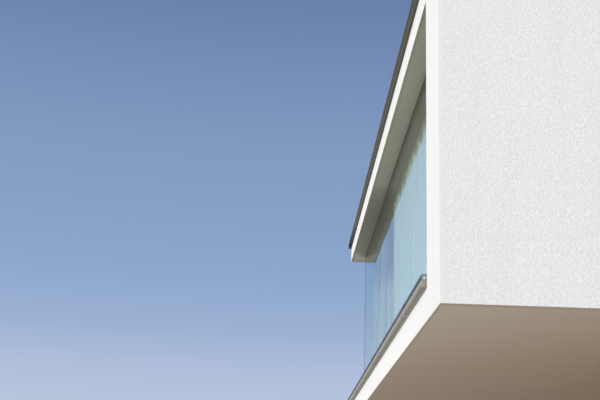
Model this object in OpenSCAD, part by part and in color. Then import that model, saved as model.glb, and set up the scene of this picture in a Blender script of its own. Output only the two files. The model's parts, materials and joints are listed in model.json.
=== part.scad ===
// A two-storey house with a flat roof. The upper storey stands out over the front of the
// ground storey. Its front is one wall of frameless glass, set back between a smooth white
// end strip, a white floor band and a white roof fascia. Sizes are in millimetres.
// +X is the blank side wall, -Y the glazed front, +Z up, origin at the bottom centre.

/* [House] */
// Length of the front, from side wall to side wall
house_l = 10400; // [9400:50:11600]
// Depth of the upper storey, from front to back
house_d = 10000; // [8800:50:11600]
// Height of the underside of the upper storey above the ground
underside_z = 3100; // [2900:10:3400]
// Height of the roof soffit above that underside
soffit_rise = 2980; // [2700:10:3200]
// Height of the white roof fascia, from soffit to roof cap
fascia_h = 260; // [200:5:340]
// How far the ground storey's front wall stands back from the upper front
setback = 3700; // [2800:50:4400]

/* [Walls] */
// Thickness of all outer walls
wall_t = 420; // [400:5:460]
// Thickness of the outer leaf that covers the edges of the slabs
leaf_t = 100; // [80:5:140]
// Thickness of the ground slab
ground_slab_h = 200; // [150:10:260]
// Thickness of the upper floor with its finish, above the underside board
floor_t = 360; // [330:5:400]
// Thickness of the smooth white render on strip, band and fascia
skin_t = 30; // [20:1:45]
// Thickness of the boards under the overhangs
board_t = 20; // [12:1:30]
// Height of the kerb round the roof
kerb_h = 50; // [30:2:60]
// Width of the kerb, from the outer face
kerb_w = 220; // [190:5:260]
// Thickness of the roof covering
cover_t = 12; // [6:1:20]

/* [Glass front] */
// Width of the smooth white strip at the end of the side wall
strip_w = 710; // [560:10:860]
// How far the glass stands back from the front
glass_recess = 226; // [180:1:280]
// How far the glass round the corner stands back from the side
side_recess = 387; // [340:1:395]
// Length of the glass on the side, from the front plane
return_l = 3200; // [2400:50:3900]
// Thickness of a glass unit
glass_t = 28; // [20:1:40]
// Distance from the side wall's outer face to the upright joint of the panes
joint_s = 5330; // [4800:10:5800]
// Width of that joint
pane_gap = 4; // [2:1:8]
// Thickness of the sides of the head and base channels
channel_side = 8; // [4:1:12]
// Height of the base channel
channel_h = 55; // [40:1:70]
// Height of the inner side of the head channel, which the glass covers
head_h = 90; // [60:1:120]
// Gap above the glass in the head channel
head_gap = 4; // [2:1:8]
// How deep the glass stands in the base channel
glass_bite = 30; // [15:1:35]

/* [Sill flashing] */
// How far the face of the nose stands out from the band
sill_out = 46; // [30:1:80]
// Height of the nose, from drip to top
sill_lip = 112; // [80:1:130]
// Height of the underside of the nose above the underside of the storey
sill_low = 290; // [260:1:310]
// Height of the hem along the top of the nose
sill_hem = 32; // [20:1:40]
// How far the hem stands out from the face below it
hem_out = 3; // [1:0.5:6]
// Radius of the top edge of the hem
sill_roll = 8; // [6:1:16]
// Rise of the top towards the glass, in one of a hundred
sill_fall = 4; // [2:0.5:6]
// Height of the upstand at the glass
sill_upstand = 24; // [12:1:34]
// Thickness of all folded sheet metal
sheet_t = 5; // [3:0.5:6]
// Gap between two lengths
sheet_gap = 4; // [2:1:8]
// Width of the strap over each joint
strap_w = 70; // [40:5:120]
// Thickness of the strap
strap_t = 2; // [1:0.5:4]
// Distance from the side wall's outer face to the first joint
sill_joint_1 = 2000; // [1500:50:3000]
// How far beyond the upright joint of the panes the second joint lies
sill_joint_off = 20; // [-600:10:600]

/* [Roof cap] */
// How far the roof cap stands out from the walls
cap_out = 50; // [30:1:70]
// Height of its outer face
cap_lip = 75; // [66:1:100]
// Length of the inner leg
cap_leg = 34; // [20:1:40]
// How far inside the outer face the inner leg hangs
cap_in = 244; // [236:1:300]
// Fall of the top towards the roof, in one of a hundred
cap_fall = 4; // [2:0.5:5]
// Distance from one joint of the cap to the next
cap_step = 2600; // [1800:100:3000]

/* [Curtains] */
// Distance from the glass to the middle of the curtain track
track_in = 169; // [110:1:220]
// Width of the track
track_w = 34; // [20:1:50]
// Height of the track
track_h = 22; // [14:1:32]
// Depth of the folds
fold_d = 90; // [60:1:130]
// Gap between the curtains and what carries them
hang_gap = 0.5; // [0.3:0.1:2]
// Gap below the curtains
floor_gap = 15; // [5:1:40]
// Where the near curtain ends, from the side wall's outer face
near_curtain_s = 6680; // [5600:20:6900]
// Gap between the corner glass and the far curtain
far_curtain_in = 120; // [60:5:500]
// Gap between the two curtains
curtain_gap = 85; // [20:5:1200]
// Thickness of the track's sheet
track_t = 3; // [2:0.5:5]
// Width of the slot under the track
track_slot = 10; // [6:1:14]
// Gap between the near curtain and the end pier
pier_gap = 30; // [10:5:80]

/* [Windows and door] */
// Width of each window in the back and ground-storey walls
window_w = 2400; // [1600:50:3200]
// Height of each window
window_h = 1500; // [1100:50:1700]
// Height of a window sill above the floor
window_z = 900; // [700:10:1100]
// Width of the door opening
door_w = 1040; // [940:10:1240]
// Height of the door opening
door_h = 2160; // [2040:10:2300]
// Distance from the right wall's inner face to the middle of the door
door_in = 2180; // [1000:20:3000]
// Distance from the left wall's inner face to the middle of the front window
front_window_in = 2580; // [2000:20:3100]
// Width of a frame member seen from the front
frame_w = 64; // [50:1:90]
// Depth of a frame
frame_d = 90; // [80:1:120]
// Bevel along the front edge of a frame
frame_bevel = 8; // [4:1:12]
// Depth of the glazing bead on the room side
bead_d = 22; // [14:1:24]
// Flat top of the glazing bead
bead_flat = 4; // [2:1:8]
// How far frames stand back from the outer face
frame_in = 140; // [100:5:200]
// Thickness of a window pane
pane_t = 24; // [16:1:36]
// Thickness of the door leaf
leaf_d = 56; // [44:1:66]
// How far the stop reaches over the door leaf
stop_w = 14; // [8:1:20]
// Diameter of the door's pull bar
pull_d = 34; // [20:1:50]
// Length of the pull bar
pull_l = 900; // [400:10:1400]
// How far the pull bar stands off the door leaf
pull_off = 50; // [30:1:80]
// How far the window sills stand out
ledge_out = 40; // [20:1:60]
// Height of the face of a window sill
ledge_lip = 40; // [25:1:60]
// Height of a window sill's upstand at the frame
ledge_up = 14; // [8:1:24]
// Gap between the door leaf and its frame
door_gap = 3; // [2:0.5:5]
// Distance from the edge of the door leaf to the pull bar
pull_in = 90; // [60:5:140]
// Height of the middle of the pull bar
pull_z = 1050; // [900:10:1200]
// Distance from an end of the pull bar to its arm
pull_arm = 90; // [60:5:140]
// Width of the upright grooves in the door leaf
groove_w = 8; // [4:1:16]
// Depth of these grooves
groove_d = 4; // [2:1:8]
// Number of these grooves
grooves = 5; // [3:1:8]

/* [Hidden] */

// How far a cut reaches past the face it opens
over = 1;

hx = house_l / 2;
hy = house_d / 2;
soffit_z = underside_z + soffit_rise;
fascia_z = soffit_z + fascia_h;
kerb_z = fascia_z + kerb_h;
slab_z = soffit_z + board_t;
floor_z = underside_z + board_t + floor_t;
low_front_y = -hy + setback;
return_y = -hy + return_l;
glass_y = -hy + glass_recess;
glass_x = -hx + side_recess;
joint_x = hx - joint_s;
sill_joint_2 = joint_s + sill_joint_off;
pier_x = hx - strip_w;
head_z = slab_z - head_h;
base_z = floor_z + channel_h;
glass_z0 = base_z - glass_bite;
glass_z1 = slab_z - head_gap;
sill_z0 = underside_z + sill_low;
sill_z1 = sill_z0 + sill_lip;
nose_out = sill_out + hem_out;
track_y = glass_y + glass_t + track_in;
ceiling_z = slab_z;
curtain_z0 = floor_z + floor_gap;
curtain_z1 = ceiling_z - track_h - hang_gap;
front_in = glass_recess - channel_side;
side_in = side_recess - channel_side;
upper_window_z = floor_z + window_z;
lower_window_z = ground_slab_h + window_z;
white = [0.96, 0.96, 0.95];
rough = [0.90, 0.90, 0.88];
metal = [0.55, 0.53, 0.50];
dark = [0.27, 0.27, 0.26];
beige = [0.60, 0.55, 0.49];

// A solid from one corner to the other
module block(a, b) translate(a) cube(b - a);

// A profile in the YZ plane, drawn out along X from x0 to x1
module along_x(x0, x1) translate([x0, 0, 0]) rotate([90, 0, 90]) linear_extrude(x1 - x0) children();

// The left-hand normal of the step from a to b
function side_of(a, b) = let (d = (b - a) / norm(b - a)) [-d[1], d[0]];
// Point i of path p, moved t to the left, with mitred corners
function moved(p, i, t) =
    i == 0 ? p[0] + t * side_of(p[0], p[1])
    : i == len(p) - 1 ? p[i] + t * side_of(p[i - 1], p[i])
    : let (m = side_of(p[i - 1], p[i]), n = side_of(p[i], p[i + 1])) p[i] + t * (m + n) / (1 + m * n);
// The outline of a sheet of thickness t folded along path p
function folded(p, t) = concat(p, [for (i = [len(p) - 1:-1:0]) moved(p, i, t)]);
// Points of a quarter circle with centre c and radius r, from angle a to angle b
function bend(c, r, a, b, n = 6) =
    [for (i = [0:n]) c + r * [cos(a + (b - a) * i / n), sin(a + (b - a) * i / n)]];

// Plan of an angle round the front left corner: wf and wl are the widths of its two legs
module corner_plan(x0, y0, wf, wl, x1, y1)
    polygon([[x0, y0], [x1, y0], [x1, y0 + wf], [x0 + wl, y0 + wf], [x0 + wl, y1], [x0, y1]]);

// Plan of both slabs: behind the render in front, behind the outer leaf elsewhere
module slab_plan()
    polygon([[-hx + skin_t, -hy + skin_t], [hx - leaf_t, -hy + skin_t], [hx - leaf_t, hy - leaf_t],
        [-hx + leaf_t, hy - leaf_t], [-hx + leaf_t, return_y], [-hx + skin_t, return_y]]);

// The parts of the two slabs that lie in the walls
module slab_seats() {
    translate([0, 0, underside_z]) linear_extrude(floor_z - underside_z) slab_plan();
    translate([0, 0, slab_z]) linear_extrude(kerb_z - slab_z) slab_plan();
}

// A folded window sill of width w in a wall that faces -Y: its face, its top, and an
// upstand against the frame, which stands d behind the outer face
module ledge(w, d)
    along_x(-w / 2, w / 2) polygon(folded([[-ledge_out, sheet_t - ledge_lip], [-ledge_out, sheet_t],
        [d - sheet_t, sheet_t + d * sill_fall / 100],
        [d - sheet_t, sheet_t + d * sill_fall / 100 + ledge_up]], -sheet_t));

// A member of a window frame of outer length l, with mitred ends. It lies along X, its
// outer edge at z = 0, and its profile has a front bevel, a groove for the pane and a bead.
module member(l) {
    q1 = frame_d / 2 - pane_t / 2;
    q2 = frame_d / 2 + pane_t / 2;
    intersection() {
        along_x(-l / 2, l / 2) polygon([[0, 0], [0, frame_w - frame_bevel], [frame_bevel, frame_w],
            [q1, frame_w], [q1, frame_w - stop_w], [q2, frame_w - stop_w], [q2, frame_w],
            [q2 + bead_flat, frame_w], [q2 + bead_d, frame_w - stop_w], [frame_d, frame_w - stop_w],
            [frame_d, 0]]);
        translate([0, frame_d + over, 0]) rotate([90, 0, 0]) linear_extrude(frame_d + 2 * over)
            polygon([[-l / 2, 0], [l / 2, 0], [l / 2 - frame_w, frame_w], [-l / 2 + frame_w, frame_w]]);
    }
}

// A frame of four members round an opening w by h that starts at z = 0
module frame(w, h) {
    member(w);
    translate([0, 0, h]) rotate([0, 180, 0]) member(w);
    translate([-w / 2, 0, h / 2]) rotate([0, 90, 0]) member(h);
    translate([w / 2, 0, h / 2]) rotate([0, -90, 0]) member(h);
}

// The pane that such a frame holds
module pane(w, h)
    block([-w / 2 + frame_w - stop_w, frame_d / 2 - pane_t / 2, frame_w - stop_w],
        [w / 2 - frame_w + stop_w, frame_d / 2 + pane_t / 2, h - frame_w + stop_w]);

module at_upper_window() translate([0, hy, upper_window_z]) rotate([0, 0, 180]) children();
module at_lower_window() translate([0, hy, lower_window_z]) rotate([0, 0, 180]) children();
module at_front_window()
    translate([-hx + wall_t + front_window_in, low_front_y, lower_window_z]) children();
module at_door() translate([hx - wall_t - door_in, low_front_y, ground_slab_h]) children();
module window_hole() block([-window_w / 2, -ledge_out, 0], [window_w / 2, wall_t + over, window_h]);

module ground_slab() color(rough) block([-hx, low_front_y, 0], [hx, hy, ground_slab_h]);

module lower_front_wall() color(white) difference() {
    block([-hx + wall_t, low_front_y, ground_slab_h], [hx - wall_t, low_front_y + wall_t, underside_z]);
    at_front_window() window_hole();
    at_door() block([-door_w / 2, -over, -over], [door_w / 2, wall_t + over, door_h]);
}

module lower_back_wall() color(rough) difference() {
    block([-hx + wall_t, hy - wall_t, ground_slab_h], [hx - wall_t, hy, underside_z]);
    at_lower_window() window_hole();
}

module lower_left_wall() color(rough)
    block([-hx, low_front_y, ground_slab_h], [-hx + wall_t, hy, underside_z]);

module lower_right_wall() color(rough)
    block([hx - wall_t, low_front_y, ground_slab_h], [hx, hy, underside_z]);

// The upper floor: thinner by one board where it stands out over the front
module upper_floor() color([0.72, 0.62, 0.50]) difference() {
    translate([0, 0, underside_z]) linear_extrude(floor_z - underside_z) slab_plan();
    block([-hx - over, -hy - over, underside_z - over], [hx + over, low_front_y, underside_z + board_t]);
}

module upper_right_wall() color(rough) difference() {
    block([hx - wall_t, -hy + skin_t, underside_z], [hx, hy, kerb_z]);
    slab_seats();
}

module corner_pier() color(white)
    block([pier_x, -hy + skin_t, floor_z], [hx - wall_t, glass_y + glass_t + channel_side, slab_z]);

module upper_left_wall() color(rough) difference() {
    block([-hx, return_y, underside_z], [-hx + wall_t, hy, kerb_z]);
    slab_seats();
}

module upper_back_wall() color(rough) difference() {
    block([-hx + wall_t, hy - wall_t, underside_z], [hx - wall_t, hy, kerb_z]);
    slab_seats();
    at_upper_window() window_hole();
}

// The roof slab with the kerb that carries the cap
module roof_slab() color(rough) difference() {
    translate([0, 0, slab_z]) linear_extrude(kerb_z - slab_z) slab_plan();
    block([-hx + kerb_w, -hy + kerb_w, fascia_z], [hx - kerb_w, hy - kerb_w, kerb_z + over]);
}

// Smooth render on the end of the side wall and its pier
module corner_strip() color(white)
    block([pier_x, -hy, floor_z], [hx, -hy + skin_t, soffit_z]);

module floor_band() color(white)
    translate([0, 0, underside_z]) linear_extrude(floor_z - underside_z)
        corner_plan(-hx, -hy, skin_t, skin_t, hx, return_y);

module roof_fascia() color(white)
    translate([0, 0, soffit_z]) linear_extrude(kerb_z - soffit_z)
        corner_plan(-hx, -hy, skin_t, skin_t, hx, return_y);

module cantilever_soffit() color(beige)
    intersection() {
        translate([0, 0, underside_z]) linear_extrude(board_t) slab_plan();
        block([-hx, -hy, underside_z - over], [hx, low_front_y, underside_z + board_t + over]);
    }

// Boards under the roof overhang, from the fascia to the glass
module roof_soffit() color([0.48, 0.49, 0.44])
    translate([0, 0, soffit_z]) linear_extrude(board_t)
        corner_plan(-hx + skin_t, -hy + skin_t, glass_recess - skin_t - channel_side,
            side_recess - skin_t - channel_side, pier_x, return_y);

module near_glass() color([0.66, 0.78, 0.84, 0.6])
    block([joint_x + pane_gap / 2, glass_y, glass_z0], [pier_x, glass_y + glass_t, glass_z1]);

module far_glass() color([0.50, 0.61, 0.72, 0.6])
    block([glass_x, glass_y, glass_z0], [joint_x - pane_gap / 2, glass_y + glass_t, glass_z1]);

module corner_glass() color([0.50, 0.61, 0.72, 0.6])
    block([glass_x, glass_y + glass_t, glass_z0], [glass_x + glass_t, return_y, glass_z1]);

// Plan of both channels, grown by g on each side of the glass
module glass_line(g)
    corner_plan(glass_x - g, glass_y - g, glass_t + 2 * g, glass_t + 2 * g, pier_x, return_y);

// The head channel's outer side ends flush with the soffit boards; its inner side hangs lower
module head_channel() color(dark) difference() {
    union() {
        translate([0, 0, soffit_z]) linear_extrude(board_t) glass_line(channel_side);
        translate([0, 0, head_z]) linear_extrude(head_h) corner_plan(glass_x, glass_y,
            glass_t + channel_side, glass_t + channel_side, pier_x, return_y);
    }
    translate([0, 0, head_z - over]) linear_extrude(glass_z1 - head_z + over) glass_line(0);
}

module base_channel() color(dark) difference() {
    translate([0, 0, floor_z]) linear_extrude(channel_h) glass_line(channel_side);
    translate([0, 0, glass_z0]) linear_extrude(channel_h) glass_line(0);
}

// The sill flashing is one folded sheet: a return under the nose, the face, a hem with a
// rolled edge, a top that rises to the glass, and an upstand against the base channel. Distances
// in run from the outer face, and the upstand's far side lies d in.
function sill_face() = concat([[0, sill_z0], [-sill_out, sill_z0], [-sill_out, sill_z1 - sill_hem],
    [-nose_out, sill_z1 - sill_hem]], bend([-nose_out + sill_roll, sill_z1 - sill_roll], sill_roll, 180, 90));
function sill_end(d) = [d - sheet_t, sill_z1 + d * sill_fall / 100];
module sill_sheet(d)
    polygon(folded(concat(sill_face(), [sill_end(d), sill_end(d) + [0, sill_upstand]]), -sheet_t));
// The plate that closes the nose at the end strip
module sill_stop() polygon(concat(sill_face(), [[0, sill_z1]]));

// A length of sill along the front, from s0 to s1 measured from the side wall's outer face
module front_sill(s0, s1) color(metal)
    translate([0, -hy, 0]) along_x(hx - s1, hx - s0) sill_sheet(front_in);

module sill_near() {
    front_sill(strip_w, sill_joint_1 - sheet_gap / 2);
    color(metal) translate([0, -hy, 0]) along_x(pier_x - sheet_t, pier_x) sill_stop();
}
// The top of a strap ends short of the upstand by the strap's thickness
function strap_end() = let (e = sill_face()[len(sill_face()) - 1], f = sill_end(front_in))
    f + (e - f) * strap_t / (f[0] - e[0]);
// A strap lies on the sheet from the drip to the upstand, across the joint at s
module sill_strap(s) color(metal)
    translate([0, -hy, 0]) along_x(hx - s - strap_w / 2, hx - s + strap_w / 2)
        polygon(folded(concat([for (i = [1:len(sill_face()) - 1]) sill_face()[i]],
            [strap_end()]), strap_t));

module sill_middle() {
    front_sill(sill_joint_1 + sheet_gap / 2, sill_joint_2 - sheet_gap / 2);
    sill_strap(sill_joint_1);
    sill_strap(sill_joint_2);
}
module sill_far() color(metal) intersection() {
    front_sill(sill_joint_2 + sheet_gap / 2, house_l + nose_out);
    linear_extrude(kerb_z) polygon([[-hx - nose_out, -hy - nose_out], [joint_x + house_l, -hy - nose_out],
        [joint_x + house_l, -hy + front_in + sheet_t], [-hx + front_in, -hy + front_in]]);
}
module sill_side() color(metal) intersection() {
    translate([-hx, 0, 0]) rotate([0, 0, -90]) along_x(-return_y, hy + nose_out) sill_sheet(side_in);
    linear_extrude(kerb_z) polygon([[-hx - nose_out, -hy - nose_out], [-hx + front_in, -hy + front_in],
        [glass_x, -hy + front_in], [glass_x, return_y], [-hx - nose_out, return_y]]);
}

// The covering lies in the roof like a tray and turns up at the kerb
module roof_covering() color([0.35, 0.36, 0.36]) difference() {
    block([-hx + kerb_w, -hy + kerb_w, fascia_z], [hx - kerb_w, hy - kerb_w, kerb_z]);
    block([-hx + kerb_w + cover_t, -hy + kerb_w + cover_t, fascia_z + cover_t],
        [hx - kerb_w - cover_t, hy - kerb_w - cover_t, kerb_z + over]);
}

// Where the cap is folded: its drip, the top of its face, and the ends of top and leg
cap_top = fascia_z + cap_lip;
cap_path = [[0, fascia_z], [-cap_out, fascia_z], [-cap_out, cap_top],
    [cap_in, cap_top - (cap_in + cap_out) * cap_fall / 100],
    [cap_in, cap_top - (cap_in + cap_out) * cap_fall / 100 - cap_leg]];

// One side of the roof cap, of the wall length w: a folded sheet with mitred ends and a
// strap over each of its joints
module cap(w) color(dark) {
    n = floor(w / cap_step);
    intersection() {
        along_x(-w, w) polygon(folded(cap_path, -sheet_t));
        linear_extrude(cap_top + over) polygon([[-w / 2 - cap_out, -cap_out], [w / 2 + cap_out, -cap_out],
            [w / 2 - cap_in, cap_in], [-w / 2 + cap_in, cap_in]]);
    }
    for (i = [0:n - 1]) translate([(i - (n - 1) / 2) * cap_step, 0, 0])
        along_x(-strap_w / 2, strap_w / 2)
            polygon(folded([for (k = [1:len(cap_path) - 1]) cap_path[k]], strap_t));
}

module cap_front() translate([0, -hy, 0]) cap(house_l);
module cap_right() translate([hx, 0, 0]) rotate([0, 0, 90]) cap(house_d);
module cap_back() translate([0, hy, 0]) rotate([0, 0, 180]) cap(house_l);
module cap_left() translate([-hx, 0, 0]) rotate([0, 0, -90]) cap(house_d);

module near_curtain() color([0.80, 0.85, 0.87])
    block([hx - near_curtain_s, track_y - fold_d / 2, curtain_z0],
        [pier_x - pier_gap, track_y + fold_d / 2, curtain_z1]);

module far_curtain() color([0.70, 0.78, 0.84])
    block([glass_x + glass_t + far_curtain_in, track_y - fold_d / 2, curtain_z0],
        [hx - near_curtain_s - curtain_gap, track_y + fold_d / 2, curtain_z1]);

// The curtain track is a channel with a slot below for the gliders
module curtain_track() color(white)
    translate([0, track_y, ceiling_z]) along_x(glass_x + glass_t + channel_side, hx - wall_t)
        polygon([[-track_w / 2, 0], [track_w / 2, 0], [track_w / 2, -track_h], [track_slot / 2, -track_h],
            [track_slot / 2, track_t - track_h], [track_w / 2 - track_t, track_t - track_h],
            [track_w / 2 - track_t, -track_t], [track_t - track_w / 2, -track_t],
            [track_t - track_w / 2, track_t - track_h], [-track_slot / 2, track_t - track_h],
            [-track_slot / 2, -track_h], [-track_w / 2, -track_h]]);

module upper_window_frame() color(dark)
    at_upper_window() translate([0, frame_in, 0]) frame(window_w, window_h);
module upper_window_pane() color([0.5, 0.6, 0.7, 0.6])
    at_upper_window() translate([0, frame_in, 0]) pane(window_w, window_h);
module upper_window_sill() color(metal) at_upper_window() ledge(window_w, frame_in);
module lower_window_frame() color(dark)
    at_lower_window() translate([0, frame_in, 0]) frame(window_w, window_h);
module lower_window_pane() color([0.5, 0.6, 0.7, 0.6])
    at_lower_window() translate([0, frame_in, 0]) pane(window_w, window_h);
module lower_window_sill() color(metal) at_lower_window() ledge(window_w, frame_in);
module front_window_frame() color(dark)
    at_front_window() translate([0, frame_in, 0]) frame(window_w, window_h);
module front_window_pane() color([0.5, 0.6, 0.7, 0.6])
    at_front_window() translate([0, frame_in, 0]) pane(window_w, window_h);
module front_window_sill() color(metal) at_front_window() ledge(window_w, frame_in);

// The door frame has a stop behind the leaf
module door_frame() color(dark) at_door() difference() {
    block([-door_w / 2, frame_in, 0], [door_w / 2, frame_in + frame_d, door_h]);
    block([-door_w / 2 + frame_w, frame_in - over, -over],
        [door_w / 2 - frame_w, frame_in + leaf_d, door_h - frame_w]);
    block([-door_w / 2 + frame_w + stop_w, frame_in, -over],
        [door_w / 2 - frame_w - stop_w, frame_in + frame_d + over, door_h - frame_w - stop_w]);
}

// The door leaf has upright grooves in its face
leaf_w = door_w - 2 * frame_w - 2 * door_gap;
module door_leaf() color([0.30, 0.31, 0.32]) at_door() difference() {
    block([-leaf_w / 2, frame_in, 0], [leaf_w / 2, frame_in + leaf_d, door_h - frame_w - door_gap]);
    for (i = [1:grooves]) translate([-leaf_w / 2 + i * leaf_w / (grooves + 1), frame_in, 0])
        block([-groove_w / 2, -over, -over], [groove_w / 2, groove_d, door_h]);
}

// An upright bar on two short arms
module door_pull() color([0.7, 0.7, 0.7])
    at_door() translate([leaf_w / 2 - pull_in, frame_in, pull_z]) {
    translate([0, -pull_off, -pull_l / 2]) cylinder(d = pull_d, h = pull_l, $fn = 32);
    for (z = [-pull_l / 2 + pull_arm, pull_l / 2 - pull_arm])
        translate([0, -pull_off, z]) rotate([-90, 0, 0]) cylinder(d = pull_d * 0.6, h = pull_off, $fn = 24);
}

ground_slab();
lower_front_wall();
lower_back_wall();
lower_left_wall();
lower_right_wall();
upper_floor();
upper_right_wall();
corner_pier();
upper_left_wall();
upper_back_wall();
roof_slab();
corner_strip();
floor_band();
roof_fascia();
cantilever_soffit();
roof_soffit();
near_glass();
far_glass();
corner_glass();
head_channel();
base_channel();
sill_near();
sill_middle();
sill_far();
sill_side();
roof_covering();
cap_front();
cap_right();
cap_back();
cap_left();
near_curtain();
far_curtain();
curtain_track();
upper_window_frame();
upper_window_pane();
upper_window_sill();
lower_window_frame();
lower_window_pane();
lower_window_sill();
front_window_frame();
front_window_pane();
front_window_sill();
door_frame();
door_leaf();
door_pull();
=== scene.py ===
# %% [markdown]
# # A detached house with a glass front
# The house already stands as a fixed frame of 45 solids: walls, slabs, panes, sills and
# caps. This lesson dresses it. It gives each solid a finish that is worked out by shader
# nodes, adds the soft and small pieces that solids can't show, and sets up sky, light,
# floor and camera. All sizes are metres; X runs along the glass front, which faces -Y,
# and Z is up.

# %% Load the frame
import json
import bmesh
import bpy
import numpy as np
from mathutils import Matrix, Vector


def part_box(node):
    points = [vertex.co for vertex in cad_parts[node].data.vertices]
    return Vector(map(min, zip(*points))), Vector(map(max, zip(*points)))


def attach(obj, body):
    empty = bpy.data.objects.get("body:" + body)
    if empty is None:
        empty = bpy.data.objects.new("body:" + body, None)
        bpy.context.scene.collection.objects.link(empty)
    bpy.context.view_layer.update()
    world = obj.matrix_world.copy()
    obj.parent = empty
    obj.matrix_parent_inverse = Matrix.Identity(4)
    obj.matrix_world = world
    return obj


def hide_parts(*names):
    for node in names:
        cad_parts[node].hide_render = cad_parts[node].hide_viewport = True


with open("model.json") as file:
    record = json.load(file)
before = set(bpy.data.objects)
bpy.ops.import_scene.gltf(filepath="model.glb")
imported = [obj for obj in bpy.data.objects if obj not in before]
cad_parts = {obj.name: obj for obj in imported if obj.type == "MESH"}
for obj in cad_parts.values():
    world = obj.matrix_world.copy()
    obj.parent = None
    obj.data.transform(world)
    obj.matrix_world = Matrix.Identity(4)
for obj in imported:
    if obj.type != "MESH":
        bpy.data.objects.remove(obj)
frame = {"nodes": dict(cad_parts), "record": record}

scene = bpy.context.scene
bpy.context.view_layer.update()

# %% [markdown]
# ## Where things are
# New pieces take their places from the solids that carry them, so nothing is typed twice.
# A small function reads one side of a solid's box. Two heights are only dividing lines
# for finishes: one lies within the upper floor, the other between the two soffits.

# %% Read places from the solids
def side(node, end, axis):
    """One side of a solid's box: end is "low" or "high", axis is "x", "y" or "z"."""
    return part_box(node)[end == "high"]["xyz".index(axis)]

RIGHT = side("upper_right_wall", "high", "x")
FRONT = side("corner_strip", "low", "y")
GLASS_OUT = side("near_glass", "low", "y")
GLASS_IN = side("near_glass", "high", "y")
SIDE_GLASS_OUT = side("corner_glass", "low", "x")
SIDE_GLASS_IN = side("corner_glass", "high", "x")
PIER = side("near_glass", "high", "x")
BACK_END = side("corner_glass", "high", "y")
BASE_TOP = side("base_channel", "high", "z")
HEAD_LOW = side("head_channel", "low", "z")
SOFFIT_LOW = side("roof_soffit", "low", "z")
SILL_LOW = side("sill_near", "low", "z")
CAP_LOW = side("cap_front", "low", "z")
SILL_JOINTS = side("sill_near", "low", "x"), side("sill_far", "high", "x")
CURTAIN_LINE = (side("curtain_track", "low", "y") + side("curtain_track", "high", "y")) / 2
ROOM_SIDE = side("upper_right_wall", "low", "x")
ROOM_BACK = side("upper_back_wall", "low", "y")
LOWER_ROOM_FRONT = side("lower_front_wall", "high", "y")
UPPER_ROOM_FRONT = GLASS_IN + 0.046
BETWEEN_STOREYS = 3.3
HALFWAY_UP = 4.5
print("glass stands", round(GLASS_OUT - FRONT, 3), "m behind the front")

# %% [markdown]
# ## A helper for surfaces
# Most new pieces are a grid of points: a function of two parameters gives every point at
# once as one numpy array, and the faces follow from the grid's own order. Where a row of
# the grid shrinks to one point, the doubled points are merged, which closes the end.

# %% Make an object from grids of points
def grid_faces(rows, columns, around, across):
    """Corner numbers of each four-sided face; around and across close the grid on itself."""
    i, j = np.meshgrid(np.arange(rows if around else rows - 1),
                       np.arange(columns if across else columns - 1), indexing="ij")
    i2, j2 = (i + 1) % rows, (j + 1) % columns
    return np.stack([i * columns + j, i2 * columns + j, i2 * columns + j2, i * columns + j2],
                    -1).reshape(-1, 4)

def surface(name, grids, finish, around=False, across=False, flat=None, smooth=True):
    """One object from point grids of shape (rows, columns, 3); flat gives cloth its UV map."""
    points, faces, start = [], [], 0
    for grid in grids:
        points.append(grid.reshape(-1, 3))
        faces.append(grid_faces(*grid.shape[:2], around, across) + start)
        start += points[-1].shape[0]
    points, faces = np.concatenate(points), np.concatenate(faces)
    mesh = bpy.data.meshes.new(name)
    mesh.vertices.add(len(points))
    mesh.vertices.foreach_set("co", points.astype(np.float32).ravel())
    mesh.loops.add(faces.size)
    mesh.loops.foreach_set("vertex_index", faces.ravel().astype(np.int32))
    mesh.polygons.add(len(faces))
    mesh.polygons.foreach_set("loop_start", np.arange(0, faces.size, 4, dtype=np.int32))
    mesh.update(calc_edges=True)
    if flat is None:
        work = bmesh.new()
        work.from_mesh(mesh)
        bmesh.ops.remove_doubles(work, verts=work.verts, dist=1e-6)
        bmesh.ops.recalc_face_normals(work, faces=work.faces)
        work.to_mesh(mesh)
        work.free()
    else:
        layer = mesh.uv_layers.new(name="cloth")
        layer.data.foreach_set("uv", flat.reshape(-1, 2)[faces.ravel()].astype(np.float32).ravel())
    mesh.polygons.foreach_set("use_smooth", np.full(len(mesh.polygons), smooth))
    made = bpy.data.objects.new(name, mesh)
    scene.collection.objects.link(made)
    made.data.materials.append(finish)
    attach(made, "root")
    print(name, "has", len(mesh.polygons), "faces")
    return made

# %% [markdown]
# ## Profiles carried along a path
# Gaskets, beads and levers are one outline that travels along a line. At a bend the
# outline lies in the plane that halves the angle, as a mitre does in a joiner's box.

# %% Carry a profile along a path
def carried(profile, path, up, closed=False):
    """Grid of points: path point + a * sideways mitre vector + b * up, for profile points
    (a, b). The mitre vector is (m + n) / (1 + m.n), where m and n stand at right angles to
    the two segments that meet. An open path gets both ends drawn in to a point."""
    profile, path, up = (np.asarray(v, float) for v in (profile, path, up))
    step = np.roll(path, -1, 0) - path if closed else np.diff(path, axis=0)
    step = step / np.linalg.norm(step, axis=1, keepdims=True)
    normal = np.cross(up, step)
    before = np.roll(normal, 1, 0) if closed else np.vstack([normal[:1], normal])
    after = normal if closed else np.vstack([normal, normal[-1:]])
    mitre = (before + after) / (1 + (before * after).sum(1, keepdims=True))
    grid = (path[:, None] + profile[None, :, :1] * mitre[:, None] + profile[None, :, 1:] * up)
    if closed:
        return grid
    ends = grid.mean(1, keepdims=True).repeat(grid.shape[1], 1)
    return np.concatenate([ends[:1], grid, ends[-1:]])

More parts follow.
